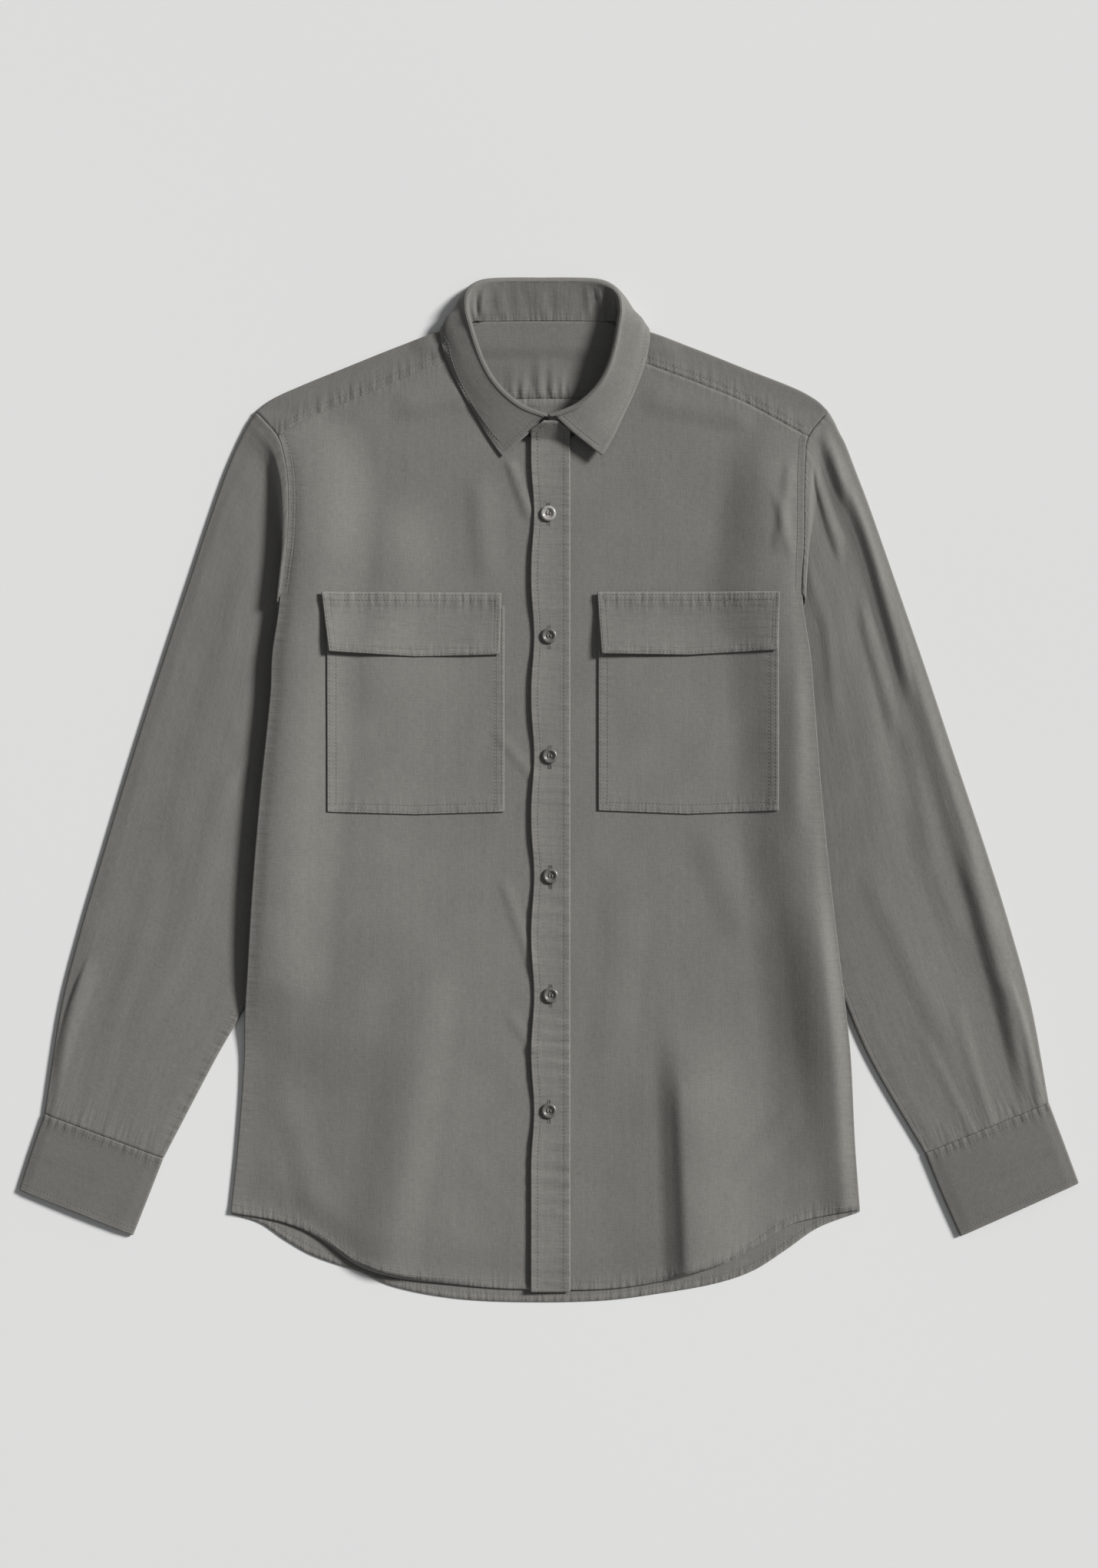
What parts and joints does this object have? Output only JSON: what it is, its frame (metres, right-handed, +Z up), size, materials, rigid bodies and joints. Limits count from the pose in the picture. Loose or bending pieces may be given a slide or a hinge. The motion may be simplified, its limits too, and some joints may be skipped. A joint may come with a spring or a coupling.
{
  "type": "long-sleeved shirt",
  "caption": "Long-sleeved button-through cotton shirt laid flat, with a turn-down collar, flap pockets on the chest, buttoned front and curved shirt-tail hem.",
  "frame": {"origin": "on the surface that the shirt lies on, under the middle of its bounding box", "axes": "+Z up from the surface, +Y from the hem towards the collar, +X across the shirt towards the wearer's left sleeve"},
  "size_m": [0.855, 0.826, 0.0219],
  "materials": {
    "cloth": "washed and slightly slubby warm grey cotton, matt, tone-on-tone stitching",
    "button": "dull grey-brown resin button with a raised rim",
    "button_light": "pale pearly resin button with a shiny rim"
  },
  "bodies": {
    "root": {"back": "cloth", "yoke": "cloth", "front_right": "cloth", "front_left": "cloth", "sleeve_right": "cloth", "sleeve_left": "cloth", "cuff_right": "cloth", "cuff_left": "cloth", "collar_stand": "cloth", "collar_leaf": "cloth", "placket": "cloth", "pocket_right": "cloth", "pocket_left": "cloth", "flap_right": "cloth", "flap_left": "cloth", "button_1": "button_light", "button_2": "button", "button_3": "button", "button_4": "button", "button_5": "button", "button_6": "button"}
  },
  "joints": []
}
